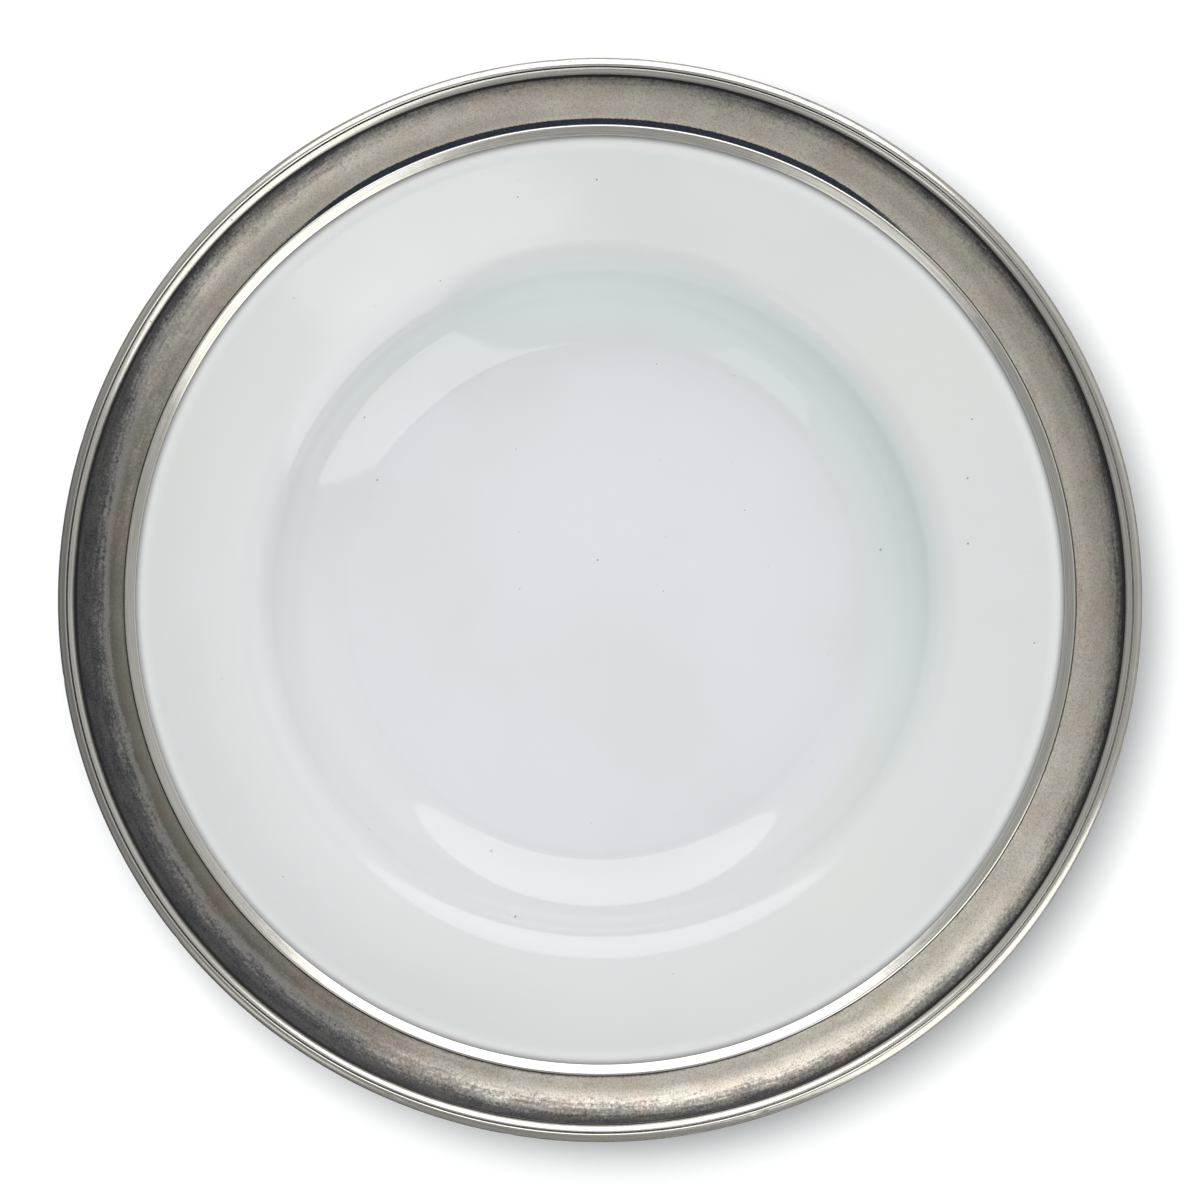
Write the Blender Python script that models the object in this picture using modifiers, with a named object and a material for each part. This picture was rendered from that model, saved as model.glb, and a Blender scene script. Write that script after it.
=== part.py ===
"""Rimmed soup bowl: a white glazed ceramic dish whose edge is held in a turned pewter rim.

Every piece is turned about the vertical Z axis. The origin is the centre of the foot ring's
resting face, +Z is up, and lengths are in metres. Each profile is drawn in the X-Z plane as
(radius, height) points and then spun round Z.
"""

import math

import bpy

MM = 0.001

# Facets
SPIN_STEPS = 72
FINE_TURN = 22.5
COARSE_TURN = 11.0
REED_TURN = 33.75
BACK_TURN = 16.5
FOOT_TURN = 45.0
BLUNT_END_RISE = 0.25  # how far a blunt end stands out, as a share of its thickness

# Fits
GAP = 0.3 * MM

# Ceramic dish, measured on its inner face unless a name says otherwise
DISH_DIAMETER = 215.6 * MM
FLOOR_RADIUS = 59.2 * MM
FLOOR_THICKNESS = 5.2 * MM
FLOOR_EDGE_ANGLE = 10.0
WELL_FILLET_RADIUS = 21.8 * MM
WALL_ANGLE = 62.0
WALL_STRAIGHT_LENGTH = 0.4 * MM
WALL_THICKNESS = 4.8 * MM
SHOULDER_RADIUS = 9.9 * MM
FLANGE_ANGLE = 8.0
FLANGE_EDGE_THICKNESS = 3.6 * MM

# Foot ring under the dish
FOOT_HEIGHT = 4.0 * MM
FOOT_WIDTH = 4.0 * MM
FOOT_LEAN = 1.2 * MM
FOOT_EDGE_RADIUS = 0.6 * MM
FOOT_ROOT_ANGLE = 14.0

# Bedding compound between the dish and the rim
BEDDING_THICKNESS = 0.6 * MM
BEDDING_LENGTH = 3.2 * MM
BEDDING_TOP_ANGLE = 12.0

# Pewter lip that is burnished down over the edge of the dish
LIP_OVERLAP = 2.6 * MM
LIP_TIP_THICKNESS = 0.6 * MM
LIP_WIDTH = 2.9 * MM
LIP_RISE = 0.7 * MM
LIP_CROWN = 0.16 * MM
LIP_SIDE = 0.3 * MM
LIP_STEP = 0.8 * MM

# Channel that the edge of the dish sits in
CHANNEL_TOP_ANGLE = 24.0
CHANNEL_ROOF_ANGLE = 52.0
LEDGE_LENGTH = 4.4 * MM
CHANNEL_WALL = 1.5 * MM
CHANNEL_BACK_ANGLE = -35.0

# Hollow cove between the lip and the reeds
COVE_WIDTH = 10.2 * MM
COVE_INNER_ANGLE = 6.0
COVE_OUTER_ANGLE = 50.0
COVE_THICKNESS = 2.2 * MM
COVE_BACK_INNER_ANGLE = 8.0
COVE_BACK_OUTER_ANGLE = 40.0

# Two reeds round the outer edge, the inner one leaning in towards the dish
REED_STEP = 0.9 * MM
INNER_REED_WIDTH = 1.6 * MM
INNER_REED_RISE = 0.65 * MM
INNER_REED_CROWN = 0.16 * MM
GROOVE_WIDTH = 0.25 * MM
GROOVE_DEPTH = 0.35 * MM
OUTER_REED_RADIUS = 1.2 * MM
OUTER_REED_GROOVE_ANGLE = 135.0
OUTER_REED_BACK_ANGLE = -70.0

# Finishes
CERAMIC_COLOUR = (0.78, 0.82, 0.81, 1.0)
PEWTER_COLOUR = (0.42, 0.40, 0.37, 1.0)
BEDDING_COLOUR = (0.70, 0.69, 0.65, 1.0)
SHARP_ANGLE = 40.0


def polar(centre, radius, angle):
    """The point at this angle, in degrees from +X towards +Z, on a circle in the X-Z plane."""
    turn = math.radians(angle)
    return (centre[0] + radius * math.cos(turn), centre[1] + radius * math.sin(turn))


def arc(centre, radius, start, end, facet):
    """Points on a circle from the start angle to the end angle, at most facet degrees apart."""
    count = max(1, math.ceil(abs(end - start) / facet))
    return [polar(centre, radius, start + (end - start) * i / count) for i in range(count + 1)]


def crown(start, end, rise, count):
    """Points between two points on the circular arc that stands out by rise on its left."""
    run = (end[0] - start[0], end[1] - start[1])
    chord = math.hypot(*run)
    left = (-run[1] / chord, run[0] / chord)
    radius = (chord * chord / 4 + rise * rise) / (2 * rise)
    points = []
    for i in range(1, count):
        along = i / count
        offset = (along - 0.5) * chord
        height = rise - radius + math.sqrt(radius * radius - offset * offset)
        points.append(
            (
                start[0] + run[0] * along + left[0] * height,
                start[1] + run[1] * along + left[1] * height,
            )
        )
    return points


def along(start, angle, length):
    """The point at this distance from start, in the direction of angle."""
    return polar(start, length, angle)


def shift(point, outward, upward):
    return (point[0] + outward, point[1] + upward)


# Inner face of the dish, from the floor to the flange
floor_height = FOOT_HEIGHT + FLOOR_THICKNESS
fillet_centre = polar((FLOOR_RADIUS, floor_height), WELL_FILLET_RADIUS, FLOOR_EDGE_ANGLE + 90)
fillet_end = polar(fillet_centre, WELL_FILLET_RADIUS, WALL_ANGLE - 90)
wall_top = along(fillet_end, WALL_ANGLE, WALL_STRAIGHT_LENGTH)
shoulder_centre = polar(wall_top, SHOULDER_RADIUS, WALL_ANGLE - 90)
shoulder_end = polar(shoulder_centre, SHOULDER_RADIUS, FLANGE_ANGLE + 90)

# Round edge of the dish, tangent to the flange's upper face
edge_radius = FLANGE_EDGE_THICKNESS / 2
edge_centre_radius = DISH_DIAMETER / 2 - edge_radius
top_tangent_angle = 90 + FLANGE_ANGLE
flange_run = edge_centre_radius - edge_radius * math.sin(math.radians(FLANGE_ANGLE)) - shoulder_end[0]
flange_rise = flange_run * math.tan(math.radians(FLANGE_ANGLE))
edge_top = shift(shoulder_end, flange_run, flange_rise)
edge_centre = polar(edge_top, edge_radius, FLANGE_ANGLE - 90)

# Underside of the flange: the lower tangent to the round edge from the back of the shoulder
shoulder_back = polar(shoulder_centre, SHOULDER_RADIUS - WALL_THICKNESS, FLANGE_ANGLE + 90)
sight = (edge_centre[0] - shoulder_back[0], edge_centre[1] - shoulder_back[1])
underside_angle = math.degrees(math.atan2(sight[1], sight[0]) - math.asin(edge_radius / math.hypot(*sight)))
bottom_tangent_angle = underside_angle - 90

# Surfaces that follow the round edge at a distance from it
bedding_inside = edge_radius + GAP
bedding_outside = bedding_inside + BEDDING_THICKNESS
channel_inside = bedding_outside + GAP
channel_outside = channel_inside + CHANNEL_WALL


def dish_profile():
    """The ceramic dish, from the middle of its floor over the edge to the middle of its underside."""
    inner = [(0.0, floor_height)]
    inner += arc(fillet_centre, WELL_FILLET_RADIUS, FLOOR_EDGE_ANGLE - 90, WALL_ANGLE - 90, COARSE_TURN)
    inner += arc(shoulder_centre, SHOULDER_RADIUS, WALL_ANGLE + 90, FLANGE_ANGLE + 90, COARSE_TURN)
    edge = arc(edge_centre, edge_radius, top_tangent_angle, bottom_tangent_angle, FINE_TURN)
    shoulder_back_radius = SHOULDER_RADIUS - WALL_THICKNESS
    back = arc(shoulder_centre, shoulder_back_radius, FLANGE_ANGLE + 90, WALL_ANGLE + 90, FINE_TURN)
    outer_fillet = WELL_FILLET_RADIUS + WALL_THICKNESS
    back += arc(fillet_centre, outer_fillet, WALL_ANGLE - 90, FOOT_ROOT_ANGLE - 90, COARSE_TURN)
    foot_outer = back[-1][0] - FOOT_LEAN
    foot_inner = foot_outer - FOOT_WIDTH
    outer_round = (foot_outer - FOOT_EDGE_RADIUS, FOOT_EDGE_RADIUS)
    inner_round = (foot_inner + FOOT_EDGE_RADIUS, FOOT_EDGE_RADIUS)
    foot = arc(outer_round, FOOT_EDGE_RADIUS, 0, -90, FOOT_TURN)
    foot += arc(inner_round, FOOT_EDGE_RADIUS, -90, -180, FOOT_TURN)
    foot += [(foot_inner - FOOT_LEAN, FOOT_HEIGHT), (0.0, FOOT_HEIGHT)]
    return inner + edge + back + foot


def bedding_profile():
    """The compound that fills the channel under and outside the edge of the dish."""
    outer = arc(edge_centre, bedding_outside, BEDDING_TOP_ANGLE, bottom_tangent_angle, FINE_TURN)
    inner = arc(edge_centre, bedding_inside, bottom_tangent_angle, BEDDING_TOP_ANGLE, FINE_TURN)
    inward = underside_angle + 180
    return outer + [along(outer[-1], inward, BEDDING_LENGTH), along(inner[0], inward, BEDDING_LENGTH)] + inner


def rim_profile():
    """The pewter rim: burnished lip, cove and reeds on top, channel and ledge below."""
    lip_radius = DISH_DIAMETER / 2 - LIP_OVERLAP
    roof = arc(edge_centre, bedding_inside, CHANNEL_ROOF_ANGLE, top_tangent_angle, FINE_TURN)
    roof_slope = math.tan(math.radians(FLANGE_ANGLE))
    tip_bottom = (lip_radius, roof[-1][1] - (roof[-1][0] - lip_radius) * roof_slope)
    tip_top = shift(tip_bottom, 0, LIP_TIP_THICKNESS)
    crest = shift(tip_top, LIP_WIDTH, LIP_RISE)
    lip = [tip_bottom] + crown(tip_bottom, tip_top, BLUNT_END_RISE * LIP_TIP_THICKNESS, 2) + [tip_top]
    lip += crown(tip_top, crest, LIP_CROWN, 4) + [crest]

    cove_start = shift(crest, LIP_SIDE, -LIP_STEP)
    inner_sine = math.sin(math.radians(COVE_INNER_ANGLE))
    cove_radius = COVE_WIDTH / (inner_sine + math.sin(math.radians(COVE_OUTER_ANGLE)))
    cove_centre = polar(cove_start, cove_radius, 90 - COVE_INNER_ANGLE)
    cove = arc(cove_centre, cove_radius, -90 - COVE_INNER_ANGLE, COVE_OUTER_ANGLE - 90, COARSE_TURN)

    step_top = shift(cove[-1], 0, REED_STEP)
    reed_crest = shift(step_top, INNER_REED_WIDTH, INNER_REED_RISE)
    groove = shift(reed_crest, GROOVE_WIDTH, -GROOVE_DEPTH)
    outer_reed_centre = polar(groove, OUTER_REED_RADIUS, OUTER_REED_GROOVE_ANGLE - 180)
    reeds = [step_top] + crown(step_top, reed_crest, INNER_REED_CROWN, 3) + [reed_crest]
    reeds += arc(
        outer_reed_centre, OUTER_REED_RADIUS, OUTER_REED_GROOVE_ANGLE, OUTER_REED_BACK_ANGLE, REED_TURN
    )

    back_radius = cove_radius + COVE_THICKNESS
    cove_back = arc(
        cove_centre, back_radius, COVE_BACK_OUTER_ANGLE - 90, COVE_BACK_INNER_ANGLE - 90, BACK_TURN
    )
    channel_back = arc(edge_centre, channel_outside, CHANNEL_BACK_ANGLE, bottom_tangent_angle, FINE_TURN)
    channel = arc(edge_centre, channel_inside, bottom_tangent_angle, CHANNEL_TOP_ANGLE, FINE_TURN)
    inward = underside_angle + 180
    ledge_bottom = along(channel_back[-1], inward, LEDGE_LENGTH)
    ledge_top = along(channel[0], inward, LEDGE_LENGTH)
    ledge_nose = crown(ledge_bottom, ledge_top, BLUNT_END_RISE * CHANNEL_WALL, 2)
    ledge = [ledge_bottom] + ledge_nose + [ledge_top]
    return lip + cove + reeds + cove_back + channel_back + ledge + channel + roof


def principled(name, colour, roughness, metallic):
    """A Principled BSDF material of one colour."""
    material = bpy.data.materials.new(name)
    material.use_nodes = True
    shader = material.node_tree.nodes["Principled BSDF"]
    shader.inputs["Base Color"].default_value = colour
    shader.inputs["Roughness"].default_value = roughness
    shader.inputs["Metallic"].default_value = metallic
    material.diffuse_color = colour
    return material


def turned(name, profile, closed, material, collection):
    """Spins a profile round Z with a Screw modifier and keeps the result as one smooth mesh."""
    count = len(profile)
    edges = [(i, i + 1) for i in range(count - 1)]
    if closed:
        edges.append((count - 1, 0))
    outline = bpy.data.meshes.new(name + "_profile")
    outline.from_pydata([(radius, 0.0, height) for radius, height in profile], edges, [])
    piece = bpy.data.objects.new(name, outline)
    collection.objects.link(piece)

    spin = piece.modifiers.new("spin", "SCREW")
    spin.axis = "Z"
    spin.angle = math.tau
    spin.steps = SPIN_STEPS
    spin.render_steps = SPIN_STEPS
    spin.use_merge_vertices = True
    spin.merge_threshold = 0.00001
    bpy.context.view_layer.update()

    evaluated = piece.evaluated_get(bpy.context.evaluated_depsgraph_get())
    solid = bpy.data.meshes.new_from_object(evaluated)
    piece.modifiers.clear()
    piece.data = solid
    bpy.data.meshes.remove(outline)
    solid.name = name
    solid.shade_smooth()
    solid.set_sharp_from_angle(angle=math.radians(SHARP_ANGLE))
    solid.materials.append(material)
    return piece


def main():
    for old in list(bpy.data.objects):
        bpy.data.objects.remove(old)
    bowl = bpy.data.collections.new("soup_bowl")
    bpy.context.scene.collection.children.link(bowl)

    glaze = principled("white_glaze", CERAMIC_COLOUR, 0.12, 0.0)
    pewter = principled("pewter", PEWTER_COLOUR, 0.34, 1.0)
    compound = principled("bedding_compound", BEDDING_COLOUR, 0.6, 0.0)

    turned("ceramic_dish", dish_profile(), False, glaze, bowl)
    turned("bedding_ring", bedding_profile(), True, compound, bowl)
    rim = turned("pewter_rim", rim_profile(), True, pewter, bowl)

    size = rim.dimensions
    top = max(vertex.co.z for vertex in rim.data.vertices)
    print(f"rim diameter {size.x / MM:.2f} mm, height over the foot {top / MM:.2f} mm")


main()
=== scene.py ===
# %% [markdown]
# # A soup bowl with a pewter rim
#
# This lesson dresses a finished CAD model. The CAD parts already have the right sizes: a white
# dish, a ring of bedding compound and a pewter rim. Here each of them is turned again with finer
# curves, and gets a finish that looks like glaze, sealant or old pewter from any side.

# %% Load the frame and note its box
import math

import bpy
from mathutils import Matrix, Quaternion, Vector


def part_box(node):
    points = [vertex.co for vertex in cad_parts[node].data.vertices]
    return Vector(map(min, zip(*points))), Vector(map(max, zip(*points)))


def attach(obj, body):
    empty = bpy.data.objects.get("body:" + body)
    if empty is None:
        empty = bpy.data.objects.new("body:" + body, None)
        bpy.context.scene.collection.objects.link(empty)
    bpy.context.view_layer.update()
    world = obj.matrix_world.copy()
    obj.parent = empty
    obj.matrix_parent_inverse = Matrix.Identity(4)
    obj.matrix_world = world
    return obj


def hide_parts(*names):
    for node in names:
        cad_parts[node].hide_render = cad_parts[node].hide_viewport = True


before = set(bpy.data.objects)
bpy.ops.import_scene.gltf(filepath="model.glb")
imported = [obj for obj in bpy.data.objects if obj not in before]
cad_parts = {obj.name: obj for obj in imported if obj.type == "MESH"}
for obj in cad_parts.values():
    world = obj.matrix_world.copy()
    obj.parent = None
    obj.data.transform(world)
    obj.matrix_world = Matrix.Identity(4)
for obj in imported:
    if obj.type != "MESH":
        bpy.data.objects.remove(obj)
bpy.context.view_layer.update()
MM = 0.001
rim_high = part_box("pewter_rim")[1]
print("CAD nodes:", sorted(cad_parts))
print("rim radius", round(rim_high.x / MM, 2), "mm, top", round(rim_high.z / MM, 2), "mm")

# %% [markdown]
# ## Camera
#
# The photograph is taken from straight above: every ring of the bowl has the same centre in it.
# A camera with no rotation looks down with +Y at the top of the picture, so it only needs a
# height and a lens. A long lens from over a metre away keeps the deep floor close to its true
# size against the rim.

# %% Look down the axis
# Metres from the rim and across the picture, and millimetres of sensor.
CAMERA_DISTANCE = 1.25
FRAME_WIDTH = 0.2709
SENSOR = 36.0

camera_data = bpy.data.cameras.new("camera")
camera_data.sensor_width = SENSOR
camera_data.lens = SENSOR * CAMERA_DISTANCE / FRAME_WIDTH
camera = bpy.data.objects.new("camera", camera_data)
camera.location = (0.0, 0.0, rim_high.z + CAMERA_DISTANCE)
bpy.context.scene.collection.objects.link(camera)
bpy.context.scene.camera = camera
print("lens", round(camera_data.lens, 1), "mm")

# %% [markdown]
# ## Soft daylight studio
#
# The glaze is a mirror of the room. Each point of the dish leans by a known angle, so a
# highlight on it tells where a light stands. The rounded crescent at the bottom of the well
# belongs to a wide oval softbox beyond the top of the picture. The slanted panel on the flange
# at the upper left belongs to a tall, narrow window at the lower right: its left edge leans
# away overhead, as an upright edge does. A small card at the lower left lights the lip
# opposite. The rest is a pale room that gets darker towards the table, and is brighter on the
# side of the oval softbox, whose light spills onto the walls there.


# %% Place lights by compass direction and angle from the vertical
def direction(azimuth, off_vertical):
    """The way to a light, from two angles. Azimuth runs clockwise from +Y."""
    turn = math.radians(azimuth)
    lean = math.radians(off_vertical)
    return Vector(
        (math.sin(turn) * math.sin(lean), math.cos(turn) * math.sin(lean), math.cos(lean))
    )


def softbox(name, shape, place, width, height, radiance, back=None, twist=0.0, far=1.6):
    """An area light at an (azimuth, angle) place. Its back faces away, or this other way."""
    data = bpy.data.lights.new(name, "AREA")
    data.shape = shape
    data.size = width
    data.size_y = height
    area = width * height * (math.pi / 4 if shape == "ELLIPSE" else 1.0)
    data.energy = radiance * math.pi * area
    lamp = bpy.data.objects.new(name, data)
    lamp.location = direction(*place) * far
    spin = Quaternion((0, 0, 1), math.radians(twist))
    lamp.rotation_euler = (direction(*(back or place)).to_track_quat("Z", "Y") @ spin).to_euler()
    bpy.context.scene.collection.objects.link(lamp)
    return lamp


# %% Set the three lights
softboxes = [
    softbox("softbox_far", "ELLIPSE", (1, 49.6), 1.77, 2.03, 2.0),
    softbox("window_near_right", "RECTANGLE", (143.6, 18), 0.68, 5.15, 1.7,
            back=(146.8, 90), twist=4.9, far=2.84),
    softbox("card_near_left", "RECTANGLE", (217, 43), 0.42, 0.76, 0.9),
]
print("lights:", {lamp.name: round(lamp.data.energy, 1) for lamp in softboxes}, "watts")

# %% A pale room that is darker towards the table and brighter beyond the far end
ROOM_SHADES = ((0.0, 0.24), (0.4, 0.62), (0.7, 0.60), (1.0, 0.46))
FAR_WALL = direction(20, 90)
SPILL = {"From Min": -0.2, "From Max": 0.6, "To Min": 1.0, "To Max": 1.48}

world = bpy.data.worlds.new("studio")
world.use_nodes = True
sky = world.node_tree
look = sky.nodes.new("ShaderNodeTexCoord")
split = sky.nodes.new("ShaderNodeSeparateXYZ")
shade = sky.nodes.new("ShaderNodeValToRGB")
stops = shade.color_ramp.elements
for height, value in ROOM_SHADES:
    stop = stops[0] if height == 0.0 else stops[-1] if height == 1.0 else stops.new(height)
    stop.color = (value * 0.975, value * 0.99, value, 1.0)
sky.links.new(look.outputs["Generated"], split.inputs[0])
sky.links.new(split.outputs["Z"], shade.inputs[0])
towards_far = sky.nodes.new("ShaderNodeVectorMath")
towards_far.operation = "DOT_PRODUCT"
towards_far.inputs[1].default_value = FAR_WALL
spill = sky.nodes.new("ShaderNodeMapRange")
spill.interpolation_type = "SMOOTHSTEP"
for label, value in SPILL.items():
    spill.inputs[label].default_value = value
lit = sky.nodes.new("ShaderNodeVectorMath")
lit.operation = "SCALE"
sky.links.new(look.outputs["Generated"], towards_far.inputs[0])
sky.links.new(towards_far.outputs["Value"], spill.inputs["Value"])
sky.links.new(shade.outputs["Color"], lit.inputs[0])
sky.links.new(spill.outputs["Result"], lit.inputs["Scale"])
sky.links.new(lit.outputs["Vector"], sky.nodes["Background"].inputs["Color"])
bpy.context.scene.world = world
bpy.context.scene.view_settings.view_transform = "Standard"
print("room shades by height:", ROOM_SHADES)

# %% [markdown]
# ## Drawing a turned profile
#
# A turned piece is one outline spun round an axis, so most of the work is the outline. It is
# written as (radius, height) points in millimetres. Large curves are arcs, and small corners
# are rounded with a fillet, because no real edge is perfectly sharp: a thin bright line on each
# edge is what makes metal and glaze look real.


# %% Arcs and rounded corners
def polar(centre, radius, angle):
    turn = math.radians(angle)
    return Vector((centre[0] + radius * math.cos(turn), centre[1] + radius * math.sin(turn)))


def arc(centre, radius, start, end, facet=3.0):
    """Points on a circle, at most facet degrees apart."""
    count = max(1, math.ceil(abs(end - start) / facet))
    return [polar(centre, radius, start + (end - start) * i / count) for i in range(count + 1)]


def rounded(corners, facet=15.0):
    """A polyline through (radius, height, fillet) corners, with each corner filleted."""
    points = []
    for i, (x, y, fillet) in enumerate(corners):
        here = Vector((x, y))
        if fillet == 0 or i in (0, len(corners) - 1):
            points.append(here)
            continue
        back = (Vector(corners[i - 1][:2]) - here).normalized()
        ahead = (Vector(corners[i + 1][:2]) - here).normalized()
        half = math.acos(max(-1.0, min(1.0, back.dot(ahead)))) / 2
        centre = here + (back + ahead).normalized() * (fillet / math.sin(half))
        start = here + back * (fillet / math.tan(half)) - centre
        end = here + ahead * (fillet / math.tan(half)) - centre
        first = math.degrees(math.atan2(start.y, start.x))
        turn = (math.degrees(math.atan2(end.y, end.x)) - first + 180) % 360 - 180
        points += arc(centre, fillet, first, first + turn, facet)
    return points


def spread(points, longest):
    """The same line with extra points, so that no step is longer than this."""
    line = [points[0]]
    for start, end in zip(points, points[1:]):
        count = max(1, math.ceil((end - start).length / longest))
        line += [start.lerp(end, i / count) for i in range(1, count + 1)]
    return line


print("a quarter circle:", len(arc((0, 0), 1, 0, 90)), "points")

# %% [markdown]
# ## The dish's outline
#
# The dish has a flat floor with a crisp edge, a hollow curve up to a steep wall, a soft
# shoulder, and a wide flange that rises gently to a round edge. Its sizes are those of the CAD
# part. The foot ring is part of the same clay, trimmed on the wheel, so its corners are small
# and slightly uneven.

# %% Outline of the dish, from the middle of the floor round to the middle of the underside
FOOT = 4.0
FLOOR = FOOT + 5.2
FLOOR_RADIUS = 59.2
WALL = 4.8
WALL_ANGLE = 62.0
FLANGE_ANGLE = 8.0
WELL_RADIUS = 21.8
SHOULDER_RADIUS = 9.9
EDGE_RADIUS = 1.8
DISH_RADIUS = 107.8

well_centre = polar((FLOOR_RADIUS, FLOOR), WELL_RADIUS, 100)
wall_top = polar(polar(well_centre, WELL_RADIUS, WALL_ANGLE - 90), 0.4, WALL_ANGLE)
shoulder_centre = polar(wall_top, SHOULDER_RADIUS, WALL_ANGLE - 90)
shoulder_end = polar(shoulder_centre, SHOULDER_RADIUS, FLANGE_ANGLE + 90)
edge_x = DISH_RADIUS - EDGE_RADIUS
edge_top_x = edge_x - EDGE_RADIUS * math.sin(math.radians(FLANGE_ANGLE))
flange_rise = (edge_top_x - shoulder_end.x) * math.tan(math.radians(FLANGE_ANGLE))
edge_top = Vector((edge_top_x, shoulder_end.y + flange_rise))
edge_centre = polar(edge_top, EDGE_RADIUS, FLANGE_ANGLE - 90)
shoulder_back = polar(shoulder_centre, SHOULDER_RADIUS - WALL, FLANGE_ANGLE + 90)
sight = edge_centre - shoulder_back
under_angle = math.degrees(math.atan2(sight.y, sight.x) - math.asin(EDGE_RADIUS / sight.length))


def dish_outline():
    floor = spread(rounded([(0, FLOOR, 0), (FLOOR_RADIUS - 0.6, FLOOR, 0)]), 6.0)
    well = arc(well_centre, WELL_RADIUS, -80, WALL_ANGLE - 90, 2.5)
    shoulder = arc(shoulder_centre, SHOULDER_RADIUS, WALL_ANGLE + 90, FLANGE_ANGLE + 90, 3.0)
    edge = arc(edge_centre, EDGE_RADIUS, FLANGE_ANGLE + 90, under_angle - 90, 12.0)
    back = arc(shoulder_centre, SHOULDER_RADIUS - WALL, FLANGE_ANGLE + 90, WALL_ANGLE + 90, 9.0)
    back += arc(well_centre, WELL_RADIUS + WALL, WALL_ANGLE - 90, -74, 3.0)
    root = back[-1]
    outer = root.x - 1.2
    inner = outer - 4.0
    foot = [
        (root.x - 0.1, root.y, 0),
        (root.x - 0.35, root.y - 0.5, 0.4),
        (outer, 0.0, 0.6),
        (inner, 0.0, 0.6),
        (inner - 1.2, FOOT + 0.05, 1.2),
        (inner - 14, FOOT + 0.15, 6.0),
        (0.0, FOOT, 0),
    ]
    return spread(floor + well + shoulder + edge + back + rounded(foot), 5.0)


dish_points = dish_outline()
print("dish outline:", len(dish_points), "points, edge at", round(edge_top.y, 2), "mm")

# %% [markdown]
# ## The rim's outline
#
# From the dish outwards the pewter has a lip that leans in, a V groove, a hollow cove, a small
# step, a reed that leans in like the lip, a second V groove and a round outer reed. Below, it
# curls under the edge of the dish as a channel and a ledge. It is one closed loop.

# %% Outline of the rim
def tongue(low, high, angle, length, nose=0.4):
    """A rounded tongue of this length between two points, standing out at this angle."""
    tips = [(*polar(p, length + nose, angle), nose) for p in (low, high)]
    return rounded([(*polar(low, length, angle), 0), *tips, (*polar(high, length, angle), 0)], 30)


GAP = 0.3
BEDDING = 0.6
LIP_RADIUS = DISH_RADIUS - 2.6
COVE_WIDTH = 10.2
COVE_FALL = 6
COVE_RISE = 50
COVE_RADIUS = COVE_WIDTH / (
    math.sin(math.radians(COVE_FALL)) + math.sin(math.radians(COVE_RISE))
)
REED_RADIUS = 1.2

roof_radius = EDGE_RADIUS + GAP
channel_radius = roof_radius + BEDDING + GAP
roof = arc(edge_centre, roof_radius, 52, FLANGE_ANGLE + 90, 9.0)
tip_y = roof[-1].y - (roof[-1].x - LIP_RADIUS) * math.tan(math.radians(FLANGE_ANGLE))
crest = Vector((LIP_RADIUS + 2.9, tip_y + 1.3))
cove_start = crest + Vector((0.3, -0.8))
cove_centre = polar(cove_start, COVE_RADIUS, 90 - COVE_FALL)
step_foot = polar(cove_centre, COVE_RADIUS, COVE_RISE - 90)
reed_foot = step_foot + Vector((0, 0.9))
reed_crest = reed_foot + Vector((1.6, 0.65))
reed_groove = reed_crest + Vector((0.25, -0.35))
reed_centre = polar(reed_groove, REED_RADIUS, -45)


def rim_outline():
    lip = [
        (LIP_RADIUS + 0.6, tip_y + 0.06, 0),
        (LIP_RADIUS + 0.18, tip_y + 0.04, 0.18),
        (LIP_RADIUS + 0.18, tip_y + 0.48, 0.2),
        (LIP_RADIUS + 1.5, tip_y + 0.97, 6.0),
        (crest.x - 0.42, crest.y + 0.04, 0.42),
        (crest.x - 0.02, cove_start.y - 0.08, 0.12),
        (crest.x + 0.4, cove_start.y - 0.10, 0.3),
        (crest.x + 1.15, cove_start.y - 0.06, 0),
    ]
    cove = arc(cove_centre, COVE_RADIUS, -91, -41, 2.2)
    reed = [
        (step_foot.x - 0.1, step_foot.y - 0.1, 0),
        (step_foot.x + 0.02, step_foot.y - 0.22, 0.04),
        (step_foot.x + 0.12, step_foot.y - 0.12, 0.04),
        (step_foot.x + 0.06, reed_foot.y - 0.08, 0.16),
        (reed_crest.x - 0.85, reed_crest.y, 1.5),
        (reed_crest.x - 0.06, reed_crest.y + 0.16, 0.1),
        (reed_crest.x + 0.14, reed_groove.y, 0.06),
        (reed_crest.x + 0.26, reed_groove.y, 0.06),
        (reed_crest.x + 0.36, reed_crest.y - 0.1, 0),
    ]
    # The top of the outer reed is an ellipse, a little wider than it is high.
    outer = [
        reed_centre + Vector((1.58 * math.cos(turn) - 0.38, 1.19 * math.sin(turn)))
        for turn in (math.radians(degrees) for degrees in range(96, 0, -8))
    ]
    outer += arc(reed_centre, REED_RADIUS, 0, -70, 9.0)
    seen = spread(rounded(lip) + cove + rounded(reed) + outer, 0.45)
    cove_back = arc(cove_centre, COVE_RADIUS + 2.2, -50, -82, 4.0)
    channel_back = arc(edge_centre, channel_radius + 1.5, -35, under_angle - 90, 8.0)
    channel = arc(edge_centre, channel_radius, under_angle - 90, 24, 15.0)
    ledge = tongue(channel_back[-1], channel[0], under_angle + 180, 4.4)
    return seen + spread(cove_back + channel_back + ledge + channel + roof, 2.5)


rim_points = rim_outline()
print("rim outline:", len(rim_points), "points, reeds at", round(reed_crest.y, 2), "mm")

# %% [markdown]
# ## Where dirt stays and hands polish
#
# Old pewter is dark where a cloth can't reach and bright where it rubs. Both can be read from
# the outline alone: from each point, walk a short way along the line to both sides. If it
# rises above the surface the point lies in a hollow; if it falls away it is on an edge. A wide
# reach finds the outer part of the cove, and a short one finds the grooves. The same numbers
# tell where glaze pools and where it runs thin.


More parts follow.
